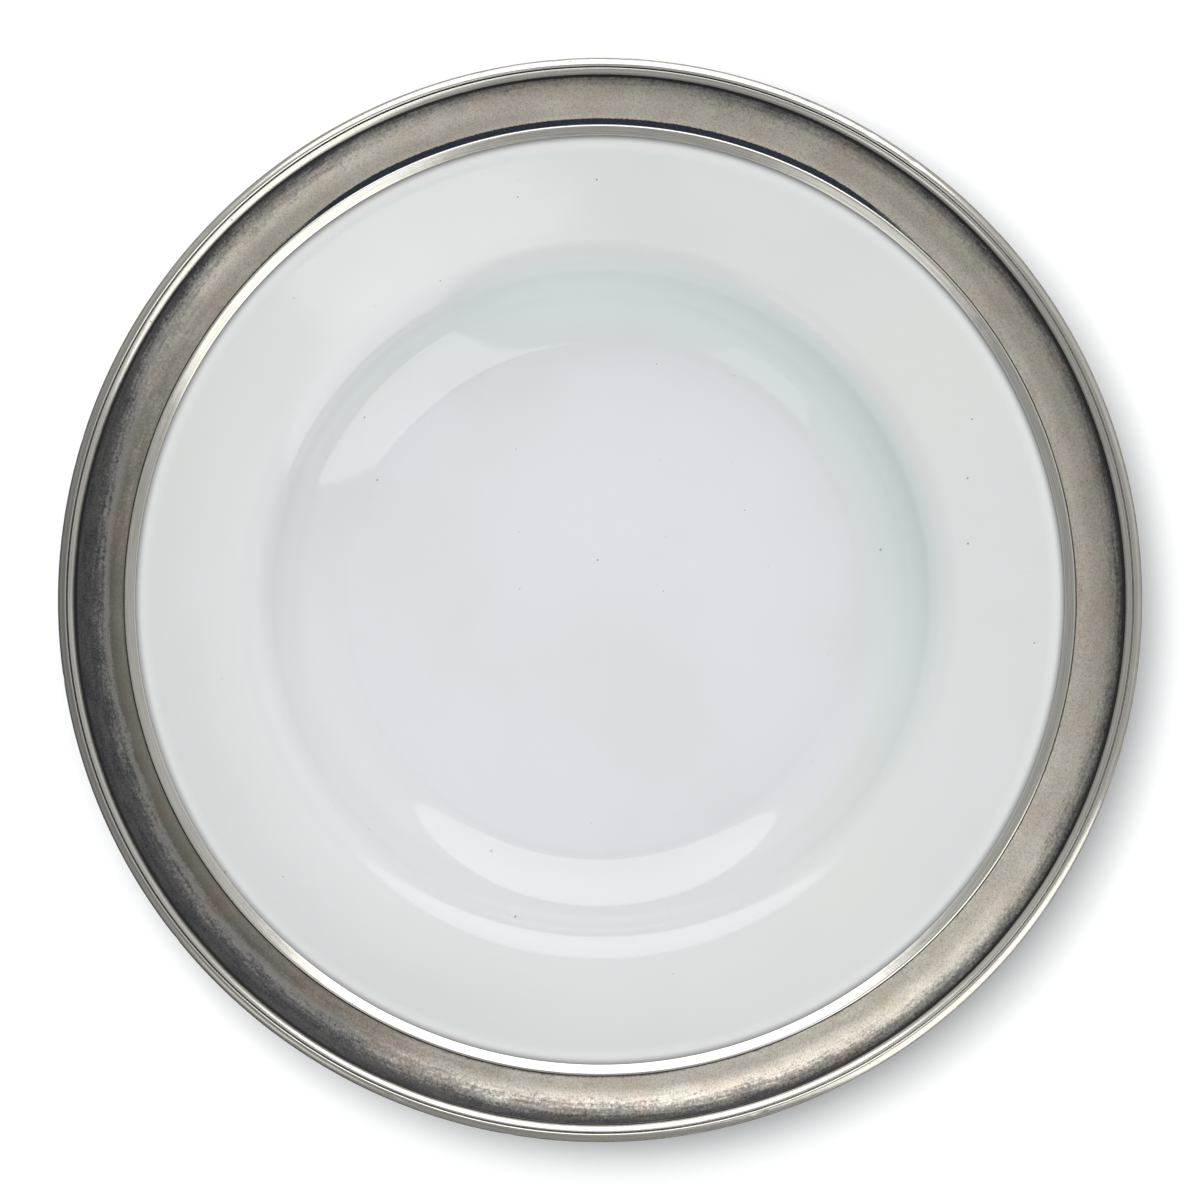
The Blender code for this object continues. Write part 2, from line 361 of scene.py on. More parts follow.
# %% Measure how hollow the outline is at each point
def hollowness(points, reach, closed):
    """For each point, from -1 on an edge to 1 in a groove, and how far it faces up."""
    count = len(points)
    steps = [(points[(i + 1) % count] - points[i]).length for i in range(count)]
    values, facing = [], []
    for i, here in enumerate(points):
        before = points[i - 1] if closed or i else here
        after = points[(i + 1) % count] if closed or i < count - 1 else here
        way = (after - before).normalized()
        outward = Vector((-way.y, way.x))
        total = weight = 0.0
        for side in (1, -1):
            walked, j = 0.0, i
            while True:
                walked += steps[j] if side == 1 else steps[j - 1]
                j += side
                if walked > reach or (not closed and not 0 <= j < count):
                    break
                j %= count
                share = (steps[j] + steps[j - 1]) * (1 - walked / reach)
                total += share * (points[j] - here).normalized().dot(outward)
                weight += share
        values.append(total / weight if weight else 0.0)
        facing.append(outward.y)
    return values, facing


# %% Store the numbers on the outline
# How far to walk, in millimetres.
WIDE_REACH = 5.0
SHORT_REACH = 1.0


def profile_object(name, points, closed):
    """A line of edges in the X-Y plane that carries these values on its points."""
    mesh = bpy.data.meshes.new(name)
    count = len(points)
    edges = [(i, i + 1) for i in range(count - 1)] + ([(count - 1, 0)] if closed else [])
    mesh.from_pydata([(p.x * MM, p.y * MM, 0.0) for p in points], edges, [])
    wide, facing = hollowness(points, WIDE_REACH, closed)
    tight = hollowness(points, SHORT_REACH, closed)[0]
    for label, values in (("hollow_wide", wide), ("hollow_tight", tight), ("facing", facing)):
        mesh.attributes.new(label, "FLOAT", "POINT").data.foreach_set("value", values)
    piece = bpy.data.objects.new(name, mesh)
    bpy.context.scene.collection.objects.link(piece)
    return piece


rim_grooves = hollowness(rim_points, SHORT_REACH, True)[0]
print("rim hollowness from", round(min(rim_grooves), 2), "to", round(max(rim_grooves), 2))

# %% [markdown]
# ## Turning with Geometry Nodes
#
# Screw would spin the outline too, but Geometry Nodes can add what a lathe and a kiln add: the
# ring is never perfectly even. The outline becomes a curve and is swept round a circle. Its
# points sit at (radius - ring, -height) in the sweep's own frame. Then a slow noise moves the
# surface by a few hundredths of a millimetre, except near the table, where it must stand flat.


# %% A small kit for node trees
def add(tree, kind, inputs=(), **settings):
    """A node with its settings, and with its inputs set to values or linked to sockets."""
    node = tree.nodes.new(kind)
    for key, value in settings.items():
        setattr(node, key, value)
    pairs = inputs.items() if isinstance(inputs, dict) else enumerate(inputs)
    for key, value in pairs:
        if isinstance(value, bpy.types.NodeSocket):
            tree.links.new(value, node.inputs[key])
        elif value is not None:
            node.inputs[key].default_value = value
    return node


def calc(tree, operation, *values):
    """One Math node; the result is its output socket."""
    return add(tree, "ShaderNodeMath", values, operation=operation).outputs[0]


def times(tree, first, second):
    return calc(tree, "MULTIPLY", first, second)


def plus(tree, first, second):
    return calc(tree, "ADD", first, second)


def minus(tree, first, second):
    return calc(tree, "SUBTRACT", first, second)


def vector_calc(tree, operation, inputs):
    """One Vector Math node; the result is the output that holds its answer."""
    node = add(tree, "ShaderNodeVectorMath", inputs, operation=operation)
    return node.outputs["Value" if operation in ("LENGTH", "DISTANCE") else "Vector"]


def axes(tree, place):
    """The X, Y and Z of a place."""
    return add(tree, "ShaderNodeSeparateXYZ", [place]).outputs


def point(tree, x, y, z):
    return add(tree, "ShaderNodeCombineXYZ", [x, y, z]).outputs[0]


def ramp(tree, value, low, high, to_low=0.0, to_high=1.0):
    """A smooth step of value from low to high."""
    node = add(
        tree,
        "ShaderNodeMapRange",
        {"Value": value, "From Min": low, "From Max": high, "To Min": to_low, "To Max": to_high},
        interpolation_type="SMOOTHSTEP",
    )
    return node.outputs[0]


def band(tree, value, start, full, fading, gone):
    """1 from full to fading, and 0 before start and after gone."""
    return times(tree, ramp(tree, value, start, full), ramp(tree, value, fading, gone, 1.0, 0.0))


def new_tree(name, kind, inputs, outputs):
    """A node group with named sockets, and its input and output nodes."""
    tree = bpy.data.node_groups.new(name, kind)
    for label, socket, default in inputs:
        made = tree.interface.new_socket(label, in_out="INPUT", socket_type=socket)
        if default is not None:
            made.default_value = default
    for label, socket in outputs:
        tree.interface.new_socket(label, in_out="OUTPUT", socket_type=socket)
    return tree, tree.nodes.new("NodeGroupInput").outputs, tree.nodes.new("NodeGroupOutput").inputs


def coat(tree, geometry, finish, result):
    """The end of a Geometry Nodes tree: real faces that wear this finish."""
    real = add(tree, "GeometryNodeRealizeInstances", [geometry]).outputs[0]
    coated = add(tree, "GeometryNodeSetMaterial", {"Geometry": real, "Material": finish})
    tree.links.new(coated.outputs[0], result)


FLOAT = "NodeSocketFloat"
WHOLE = "NodeSocketInt"
GEOMETRY = "NodeSocketGeometry"
FINISH = ("Material", "NodeSocketMaterial", None)


def numbers(**defaults):
    """Number inputs for new_tree, with their default values."""
    return [(label.replace("_", " "), FLOAT, value) for label, value in defaults.items()]


print("node kit ready")


# %% The turning tree
SWEEP_RING = 0.1
WELD_DISTANCE = 0.000002
STILL_NEAR_TABLE = (0.001, 0.008)


def turning_tree():
    tree, given, result = new_tree(
        "turn outline",
        "GeometryNodeTree",
        [
            ("Outline", GEOMETRY, None),
            ("Segments", WHOLE, 480),
            *numbers(Ring=SWEEP_RING, Waver=0.00004, Waver_size=0.05, Seed=0.0),
            FINISH,
        ],
        [("Turned", GEOMETRY)],
    )
    # This is read on the flat outline first, and further down on the swept surface.
    place = add(tree, "GeometryNodeInputPosition").outputs[0]
    parts = axes(tree, place)
    sideways = minus(tree, parts["X"], given["Ring"])
    upward = times(tree, parts["Y"], -1.0)
    flat = point(tree, sideways, upward, 0.0)
    line = add(tree, "GeometryNodeSetPosition", {"Geometry": given["Outline"], "Position": flat})
    curve = add(tree, "GeometryNodeMeshToCurve", [line.outputs[0]]).outputs[0]
    length = add(tree, "GeometryNodeSplineParameter").outputs["Length"]
    curve = add(
        tree,
        "GeometryNodeStoreNamedAttribute",
        {"Geometry": curve, "Name": "along", "Value": length},
        data_type="FLOAT",
        domain="POINT",
    ).outputs[0]
    circle = add(
        tree,
        "GeometryNodeCurvePrimitiveCircle",
        {"Resolution": given["Segments"], "Radius": given["Ring"]},
    ).outputs[0]
    swept = add(tree, "GeometryNodeCurveToMesh", {"Curve": circle, "Profile Curve": curve})
    closed = add(
        tree,
        "GeometryNodeMergeByDistance",
        {"Geometry": swept.outputs[0], "Distance": WELD_DISTANCE},
    ).outputs[0]

    scale = calc(tree, "DIVIDE", 1.0, given["Waver size"])
    noise = add(
        tree,
        "ShaderNodeTexNoise",
        {"Vector": place, "W": given["Seed"], "Scale": scale, "Detail": 2.0},
        noise_dimensions="4D",
    ).outputs["Color"]
    centred = vector_calc(tree, "SUBTRACT", [noise, (0.5, 0.5, 0.5)])
    off_table = ramp(tree, parts["Z"], *STILL_NEAR_TABLE)
    amount = times(tree, times(tree, given["Waver"], 2.0), off_table)
    offset = vector_calc(tree, "SCALE", {0: centred, "Scale": amount})
    moved = add(tree, "GeometryNodeSetPosition", {"Geometry": closed, "Offset": offset}).outputs[0]
    smooth = add(tree, "GeometryNodeSetShadeSmooth", {"Geometry": moved}).outputs[0]
    coat(tree, smooth, given["Material"], result[0])
    return tree


def nodes_modifier(piece, tree, values):
    """Adds the tree as a modifier and sets its inputs by their identifiers."""
    modifier = piece.modifiers.new(tree.name, "NODES")
    modifier.node_group = tree
    for item in tree.interface.items_tree:
        if item.in_out == "INPUT" and item.name in values:
            modifier[item.identifier] = values[item.name]


turn_outline = turning_tree()
print("turning tree:", len(turn_outline.nodes), "nodes")

# %% [markdown]
# ## Dings
#
# The reeds and the lip take all the knocks. Each ding is a point on the reed's round surface at
# a random angle, and the mesh sinks towards it within the ding's own radius. A second tree
# does this after the turning, so the same tree can be used for the reed and for the lip.


# %% The dings tree
def dings_tree():
    tree, given, result = new_tree(
        "dings along a ring",
        "GeometryNodeTree",
        [
            ("Metal", GEOMETRY, None),
            ("Count", WHOLE, 20),
            *numbers(Ring=0.12, Height=0.035, Reed=0.001),
            *numbers(Lowest_tilt=0.0, Highest_tilt=1.5, Size=0.0014, Depth=0.00012),
            ("Seed", WHOLE, 1),
            FINISH,
        ],
        [("Dinged", GEOMETRY)],
    )

    def chance(low, high, step):
        seed = plus(tree, given["Seed"], float(step))
        return add(
            tree, "FunctionNodeRandomValue", {2: low, 3: high, "Seed": seed}, data_type="FLOAT"
        ).outputs[1]

    turn = chance(0.0, math.tau, 0)
    tilt = chance(given["Lowest tilt"], given["Highest tilt"], 100)
    reach = times(tree, given["Reed"], calc(tree, "COSINE", tilt))
    far = plus(tree, given["Ring"], reach)
    x = times(tree, far, calc(tree, "COSINE", turn))
    y = times(tree, far, calc(tree, "SINE", turn))
    lift = times(tree, given["Reed"], calc(tree, "SINE", tilt))
    spot = point(tree, x, y, plus(tree, given["Height"], lift))
    width = times(tree, given["Size"], chance(0.5, 1.0, 200))
    points = add(
        tree,
        "GeometryNodePoints",
        {"Count": given["Count"], "Position": spot, "Radius": width},
    ).outputs[0]

    place = add(tree, "GeometryNodeInputPosition").outputs[0]
    nearest = add(tree, "GeometryNodeSampleNearest", {"Geometry": points}).outputs[0]

    def of_nearest(value, kind):
        inputs = {"Geometry": points, "Value": value, "Index": nearest}
        return add(
            tree, "GeometryNodeSampleIndex", inputs, data_type=kind, domain="POINT"
        ).outputs[0]

    centre = of_nearest(place, "FLOAT_VECTOR")
    size = of_nearest(add(tree, "GeometryNodeInputRadius").outputs[0], "FLOAT")
    away = vector_calc(tree, "DISTANCE", [place, centre])
    depth = times(tree, given["Depth"], calc(tree, "DIVIDE", size, given["Size"]))
    sink = times(tree, ramp(tree, away, 0.0, size, 1.0, 0.0), depth)
    normal = add(tree, "GeometryNodeInputNormal").outputs[0]
    inward = vector_calc(tree, "SCALE", {0: normal, "Scale": times(tree, sink, -1.0)})
    moved = add(
        tree, "GeometryNodeSetPosition", {"Geometry": given["Metal"], "Offset": inward}
    ).outputs[0]
    coat(tree, moved, given["Material"], result[0])
    return tree


dings_along_ring = dings_tree()
print("dings tree:", len(dings_along_ring.nodes), "nodes")

# %% [markdown]
# ## Shared surface effects
#
# Three effects turn up in more than one finish, so each is a shader group: streaks that run
# round a turned piece, specks scattered over it, and a mask of where grime stays and where
# rubbing keeps it bright. They read Object coordinates and the numbers that were stored on the
# outline, so nothing slides when the camera moves.


# %% Short names for the shader nodes that are used most
def attribute(tree, name):
    return add(tree, "ShaderNodeAttribute", attribute_name=name).outputs["Fac"]


def mix(tree, factor, first, second):
    """A colour between two colours, each a socket or an (r, g, b) triple."""
    pair = [c if isinstance(c, bpy.types.NodeSocket) else (*c, 1.0) for c in (first, second)]
    inputs = {0: factor, 6: pair[0], 7: pair[1]}
    return add(tree, "ShaderNodeMix", inputs, data_type="RGBA").outputs[2]


def layers(tree, colour, *coats):
    """The colour with (mask, colour) coats over it, one by one."""
    for mask, over in coats:
        colour = mix(tree, mask, colour, over)
    return colour


def on_piece(tree):
    """The place on the piece, in Object coordinates."""
    return add(tree, "ShaderNodeTexCoord").outputs["Object"]


def off_axis(tree):
    """The level way from the axis to the place."""
    return vector_calc(tree, "MULTIPLY", [on_piece(tree), (1, 1, 0)])


def bearing(tree):
    """The angle of the place round the axis, clockwise from +Y."""
    parts = axes(tree, on_piece(tree))
    return calc(tree, "ARCTAN2", parts["X"], parts["Y"])


def compass(tree, towards):
    """1 on the side of the axis that lies this way, and -1 opposite."""
    return calc(tree, "COSINE", minus(tree, bearing(tree), towards))


def around(tree, stops):
    """A value that changes smoothly round the axis, from its value at each eighth turn."""
    turn = calc(tree, "DIVIDE", bearing(tree), math.tau)
    node = add(tree, "ShaderNodeValToRGB", [calc(tree, "FRACT", turn)])
    node.color_ramp.interpolation = "EASE"
    marks = node.color_ramp.elements
    for i, value in enumerate((*stops, stops[0])):
        mark = marks[0] if i == 0 else marks[-1] if i == 8 else marks.new(i / 8)
        mark.color = (value, value, value, 1.0)
    return node.outputs["Color"]


def noise(tree, size, detail=2.0, seed=0.0, vector=None, rough=0.5):
    """Noise with features of about this size in metres, on Object coordinates by default."""
    if vector is None:
        vector = on_piece(tree)
    node = add(
        tree,
        "ShaderNodeTexNoise",
        {"Vector": vector, "W": seed, "Scale": 1 / size, "Detail": detail, "Roughness": rough},
        noise_dimensions="4D",
    )
    return node.outputs["Fac"]


def group(tree, shared, **values):
    """Places a shared group with its own values; the result is its outputs."""
    inputs = {name.replace("_", " "): value for name, value in values.items()}
    return add(tree, "ShaderNodeGroup", inputs, node_tree=shared).outputs


print("shader names ready")


# %% Streaks that run round the turned piece
def streaks_tree():
    tree, given, result = new_tree(
        "turned streaks",
        "ShaderNodeTree",
        numbers(Around=10.0, Across=1000.0, Detail=3.0, Seed=0.0),
        [("Streaks", FLOAT)],
    )
    way = vector_calc(tree, "NORMALIZE", [off_axis(tree)])
    ring = vector_calc(tree, "SCALE", {0: way, "Scale": given["Around"]})
    across = times(tree, attribute(tree, "along"), given["Across"])
    vector = vector_calc(tree, "ADD", [ring, point(tree, 0.0, 0.0, across)])
    value = noise(tree, 1.0, given["Detail"], given["Seed"], vector)
    tree.links.new(value, result[0])
    return tree


STREAKS = streaks_tree()
print("streaks:", len(STREAKS.nodes), "nodes")


# %% Specks scattered over the surface
def specks_tree():
    tree, given, result = new_tree(
        "scattered specks",
        "ShaderNodeTree",
        numbers(Cell=0.01, Size=0.0002, Share=0.1, Seed=0.0),
        [("Mask", FLOAT)],
    )
    shift = point(tree, given["Seed"], given["Seed"], 0.0)
    shifted = vector_calc(tree, "ADD", [on_piece(tree), shift])
    cells = add(
        tree,
        "ShaderNodeTexVoronoi",
        {"Vector": shifted, "Scale": calc(tree, "DIVIDE", 1.0, given["Cell"])},
        voronoi_dimensions="2D",
    ).outputs
    random = add(tree, "ShaderNodeSeparateColor", [cells["Color"]]).outputs
    distance = times(tree, cells["Distance"], given["Cell"])
    size = times(tree, given["Size"], plus(tree, 0.4, random[1]))
    inside = ramp(tree, calc(tree, "DIVIDE", distance, size), 0.6, 1.1, 1.0, 0.0)
    chosen = calc(tree, "LESS_THAN", random[0], given["Share"])
    tree.links.new(times(tree, inside, chosen), result[0])
    return tree


SPECKS = specks_tree()
print("specks:", len(SPECKS.nodes), "nodes")


# %% Where grime stays and where rubbing keeps the surface bright
def wear_tree():
    tree, given, result = new_tree(
        "grime and rubbing",
        "ShaderNodeTree",
        numbers(
            Start=0.2, End=0.3, Break_up=0.2, Slope=1.0, Reach=0.0, Toward=0.0, Ends=0.0,
            Far_end=0.0, Seed=0.0,
        ),
        [
            (label, FLOAT)
            for label in ("Grime", "Depth", "Groove", "Ends", "Tarnish", "Rubbed", "Polish")
        ],
    )

    def centred(value, amount):
        return times(tree, minus(tree, value, 0.5), amount)

    wide = attribute(tree, "hollow_wide")
    tight = attribute(tree, "hollow_tight")
    seed = given["Seed"]
    speckle = centred(noise(tree, 0.0006, 3.0, seed, rough=0.75), 1.3)
    blotch = centred(noise(tree, 0.011, 3.0, seed), 1.0)
    drift = centred(noise(tree, 0.05, 1.0, seed), 1.0)
    streak = centred(group(tree, STREAKS, Around=14.0, Across=1300.0, Seed=seed)[0], 0.8)
    cloud = plus(tree, times(tree, blotch, 0.4), times(tree, drift, 0.5))
    texture = plus(tree, plus(tree, speckle, cloud), streak)

    aside = compass(tree, given["Toward"])
    steep = minus(tree, 1.0, attribute(tree, "facing"))
    sheltered = calc(tree, "MAXIMUM", wide, -0.15)
    total = plus(tree, sheltered, times(tree, steep, given["Slope"]))
    total = plus(tree, total, times(tree, texture, given["Break up"]))
    total = plus(tree, total, given["Reach"])
    tree.links.new(ramp(tree, total, given["Start"], given["End"]), result["Grime"])
    deeper = minus(tree, total, given["End"])
    tree.links.new(ramp(tree, deeper, -0.04, 0.11), result["Depth"])
    clouded = plus(tree, aside, times(tree, texture, 0.3))
    tree.links.new(ramp(tree, clouded, 0.45, 0.95), result["Tarnish"])

    # The cosine of twice the angle is 1 at the far and the near end, and -1 at the sides.
    away = compass(tree, 0.0)
    twice = minus(tree, times(tree, calc(tree, "POWER", away, 2.0), 2.0), 1.0)
    ends = times(tree, twice, given["Ends"])
    ends = plus(tree, ends, times(tree, away, given["Far end"]))
    ends = plus(tree, ends, times(tree, texture, 0.4))
    # Ends keeps the line in the grooves to the far and near ends, where it is partly grime and
    # partly painted shade.
    tree.links.new(ramp(tree, ends, 0.3, 0.75), result["Ends"])
    pitted = plus(tree, tight, times(tree, speckle, 0.6))
    tree.links.new(ramp(tree, pitted, 0.12, 0.3), result["Groove"])
    tree.links.new(ramp(tree, tight, -0.12, -0.4), result["Rubbed"])
    reach = ramp(tree, attribute(tree, "facing"), 0.6, 0.85)
    touched = times(tree, ramp(tree, wide, -0.05, -0.25), reach)
    tree.links.new(touched, result["Polish"])
    return tree


WEAR = wear_tree()
print("wear:", len(WEAR.nodes), "nodes")


# %% A material with its shader ready to be fed
def material(name, view_colour, **constants):
    """A Principled BSDF material; constant values go straight onto the shader's sockets."""
    made = bpy.data.materials.new(name)
    made.use_nodes = True
    made.diffuse_color = (*view_colour, 1.0)
    shader = made.node_tree.nodes["Principled BSDF"]
    for key, value in constants.items():
        shader.inputs[key.replace("_", " ")].default_value = value
    return made, made.node_tree, shader.inputs


def bump(tree, height, distance, normal=None):
    """A Bump node over an optional earlier one; height runs from 0 to 1."""
    inputs = {"Strength": 1.0, "Distance": distance, "Height": height}
    if normal is not None:
        inputs["Normal"] = normal
    return add(tree, "ShaderNodeBump", inputs).outputs[0]


print("material helpers ready")

# %% [markdown]
# ## White glaze
#
# The glaze is a thick clear coat over white clay, with a faint green-blue cast. It pools in
# hollows, where the cast is deeper, and pulls thin over the shoulder. Slow swells and a fine
# orange peel bend the reflections a little. The wall of the well has painted light on it at the
# far end and the far right, and painted shade at the near end and the near left, where it is
# greyer. A few iron specks and pinholes are scattered in the glaze, and its tint is mottled:
# bluer in the floor, and greener where it pools on the far wall, a green that is painted shade.
# Use has dulled it on the shoulder. The flange has painted shade towards the lip at the near
# left, and a thin band of painted shade right under the lip. The foot is left bare so that it
# doesn't stick in the kiln.


# %% Tint of the glaze
# Where each zone starts and is full, or where it starts, is full, fades and ends: distances
# in metres from the axis, and for the wall's foot along the outline.
FLOOR_EDGE = (0.0655, 0.0695)
WALL_FOOT = (0.059, 0.072)
PAINTED_LIGHT_WALL = (0.056, 0.0725, 0.0755, 0.0805)
PAINTED_SHADE_WALL = (0.057, 0.062, 0.080, 0.083)


def glaze_tint(tree, outward):
    """The colour of the glaze, with painted light and painted shade on the wall. The tuples of
    eight are values at each eighth turn.
    """
    wide = attribute(tree, "hollow_wide")
    along = attribute(tree, "along")
    low = ramp(tree, outward, *FLOOR_EDGE, 1.0, 0.0)
    cloud = ramp(tree, noise(tree, 0.035, 3.0, 1.0), 0.35, 0.65)
    mottle = noise(tree, 0.05, 3.0, 31.0)
    flange = mix(tree, cloud, (0.600, 0.624, 0.617), (0.618, 0.636, 0.630))
    flange = mix(tree, ramp(tree, mottle, 0.48, 0.66), flange, (0.627, 0.633, 0.620))
    floor_mottle = ramp(tree, mottle, 0.36, 0.62)
    floor = mix(tree, floor_mottle, (0.604, 0.623, 0.637), (0.630, 0.642, 0.667))

    # Pooled glaze is greener on the far and right walls: the green there is a painted shade tint.
    green = around(tree, (1.0, 1.0, 0.8, 0.2, 0.0, 0.0, 0.2, 0.85))
    pool = mix(tree, green, (0.674, 0.676, 0.666), (0.643, 0.709, 0.697))
    blue = times(tree, low, around(tree, (0.2, 0.8, 1.0, 0.9, 1.0, 0.8, 0.7, 1.0)))
    pool = mix(tree, blue, pool, (0.655, 0.662, 0.693))
    hollow = times(tree, ramp(tree, wide, 0.02, 0.12), ramp(tree, along, *WALL_FOOT))
    pulled = ramp(tree, wide, -0.05, -0.25)
    # Painted light: the wall of the well is lighter at the far end and the far right.
    painted_extra = around(tree, (0.75, 0.82, 0.5, 0.08, 0.0, 0.0, 0.0, 0.15))
    painted_extra = times(tree, band(tree, outward, *PAINTED_LIGHT_WALL), painted_extra)
    # Painted shade: the wall of the well is greyer at the near end and the near left.
    wall_shade = around(tree, (0.0, 0.0, 0.0, 0.0, 0.9, 0.9, 0.5, 0.1))
    wall_shade = times(tree, band(tree, outward, *PAINTED_SHADE_WALL), wall_shade)
    return layers(
        tree,
        flange,
        (low, floor),
        (hollow, pool),
        (pulled, (0.675, 0.681, 0.670)),
        (painted_extra, (0.757, 0.830, 0.817)),
        (wall_shade, (0.585, 0.590, 0.606)),
    )


print("floor tint ends at", FLOOR_EDGE[1] / MM, "mm")


# %% Glaze material
# Distances from the axis and, for the bare foot, heights over the table, all in metres.
TOWARDS_LIP = (0.080, 0.103)
UNDER_LIP = (0.1038, 0.1055)
WORN_SHOULDER = (0.0765, 0.078, 0.083, 0.086)
BARE_FOOT = (0.00035, 0.0005)
SHADE_GREY = (0.03, 0.03, 0.034)


def glaze_material():
    made, tree, shader = material("white_glaze", (0.70, 0.73, 0.72), IOR=1.52)
    outward = vector_calc(tree, "LENGTH", [off_axis(tree)])
    iron = group(tree, SPECKS, Cell=0.017, Size=0.00022, Share=0.22, Seed=0.31)[0]
    rust = group(tree, SPECKS, Cell=0.031, Size=0.0003, Share=0.12, Seed=1.7)[0]
    pinhole = group(tree, SPECKS, Cell=0.009, Size=0.00012, Share=0.36, Seed=2.9)[0]
    # Painted shade on the flange towards the lip, heaviest at the near left.
    lip_side_shade = around(tree, (0.0, 0.0, 0.1, 0.2, 0.6, 1.0, 0.8, 0.25))
    lip_side_shade = times(tree, lip_side_shade, ramp(tree, outward, *TOWARDS_LIP, 0.0, 0.10))
    colour = layers(
        tree,
        glaze_tint(tree, outward),
        (times(tree, iron, 0.75), (0.20, 0.17, 0.15)),
        (times(tree, rust, 0.55), (0.42, 0.24, 0.15)),
        (times(tree, pinhole, 0.35), (0.36, 0.36, 0.34)),
        (lip_side_shade, SHADE_GREY),
        # Painted shade in a thin band on the glaze right under the lip.
        (ramp(tree, outward, *UNDER_LIP, 0.0, 0.42), SHADE_GREY),
    )

    height = axes(tree, on_piece(tree))["Z"]
    ragged = times(tree, minus(tree, noise(tree, 0.003, 3.0, 5.0), 0.5), 0.0005)
    bare = ramp(tree, plus(tree, height, ragged), *BARE_FOOT, 1.0, 0.0)
    marks = ramp(tree, group(tree, STREAKS, Around=30.0, Across=700.0, Seed=4.0)[0], 0.55, 0.75)
    clay = mix(tree, noise(tree, 0.0012, 3.0, 6.0), (0.66, 0.60, 0.52), (0.78, 0.74, 0.67))
    clay = mix(tree, times(tree, marks, 0.45), clay, (0.30, 0.28, 0.26))
    tree.links.new(mix(tree, bare, colour, clay), shader["Base Color"])

    spoons = ramp(tree, noise(tree, 0.006, 5.0, 8.0, rough=0.7), 0.45, 0.75)
    dull = plus(tree, 0.065, times(tree, spoons, 0.05))
    dull = plus(tree, dull, times(tree, pinhole, 0.3))
    dull = plus(tree, dull, times(tree, band(tree, outward, *WORN_SHOULDER), 0.06))
    tree.links.new(calc(tree, "MAXIMUM", dull, times(tree, bare, 0.78)), shader["Roughness"])

    swell = bump(tree, noise(tree, 0.022, 2.0, 11.0), 0.00006)
    peel = bump(tree, noise(tree, 0.0022, 2.0, 12.0), 0.0000035, swell)
    grain = times(tree, noise(tree, 0.0004, 3.0, 13.0), bare)
    grit = bump(tree, grain, 0.00006, peel)
    pits = bump(tree, minus(tree, 1.0, pinhole), 0.00004, grit)
    tree.links.new(pits, shader["Normal"])
    return made


GLAZE = glaze_material()
print("glaze:", len(GLAZE.node_tree.nodes), "nodes")

# %% [markdown]
# ## Old pewter
#
# Pewter is a warm grey metal that turns nearly black where it is left alone. Here the lip and
# the reeds are polished by use, the cove is a satin grey with a fine cross-brushed grain, and
# the patina stays on the steep part below the step, in the V grooves and on the underside. Its
# edge is ragged, because a cloth wears it away bit by bit. It is heaviest at the left. The outer
# reed there and at the near end has a painted dark reflection, and the satin metal has painted
# shade round the far end. A blue-black line behind the lip at the far end and in the grooves at
# the far and near ends is partly grime and partly painted shade, and a brown-black one under the
# step is painted shade.


# %% Worn pewter, before its patina
# Where the cove and the outer reed set in, in metres from the axis.
COVE_START = (0.1085, 0.1128)
OUTER_REED = (0.1203, 0.1206)


def pewter_metal(tree, wear, outward, grain, lines, broad, rosy, olive):
    """The colour of the bare metal, satin in the cove and polished on the lip and the reeds, with
    painted shade.
    """
    blotch = noise(tree, 0.009, 4.0, 3.0, rough=0.6)
    tone = plus(tree, times(tree, blotch, 0.65), times(tree, broad, 0.35))
    tarnish = times(tree, wear["Tarnish"], ramp(tree, outward, *COVE_START, 0.74, 1.0))
    satin = layers(
        tree,
        mix(tree, ramp(tree, tone, 0.34, 0.66), (0.54, 0.50, 0.43), (0.68, 0.64, 0.56)),
        (rosy, (0.60, 0.51, 0.44)),
        (olive, (0.53, 0.505, 0.39)),
        # Painted shade: the satin metal is darker round the far end, from the upper left to the
        # right.
        (around(tree, (0.42, 0.42, 0.40, 0.0, 0.08, 0.0, 0.0, 0.56)), (0.22, 0.205, 0.175)),
        (tarnish, mix(tree, rosy, (0.056, 0.054, 0.046), (0.094, 0.070, 0.051))),
        (ramp(tree, grain, 0.42, 0.68, 0.0, 0.55), (0.11, 0.10, 0.085)),
    )

    turned = ramp(tree, lines, 0.35, 0.65)
    polished = mix(tree, turned, (0.44, 0.43, 0.385), (0.53, 0.52, 0.47))
    # Painted dark reflection: the outer reed is darker at the left and the near end.
    reed_dark_reflection = around(tree, (0.0, 0.0, 0.0, 0.0, 0.4, 0.45, 0.9, 0.1))
    reed_dark_reflection = times(tree, ramp(tree, outward, *OUTER_REED), reed_dark_reflection)
    polished = mix(tree, reed_dark_reflection, polished, (0.27, 0.262, 0.235))
    return layers(
        tree, satin, (wear["Polish"], polished), (wear["Rubbed"], (0.60, 0.58, 0.53))
    )


print("outer reed from", OUTER_REED[0] / MM, "mm")


# %% Grime and painted shade in the grooves, and painted shade under the step
# Distances from the axis in metres.
STEP_LINE = (0.1181, 0.1183, 0.1187, 0.1189)
LIP_FOOT = (0.1079, 0.10805)
LIP_LINE_END = (0.1083, 0.10845)


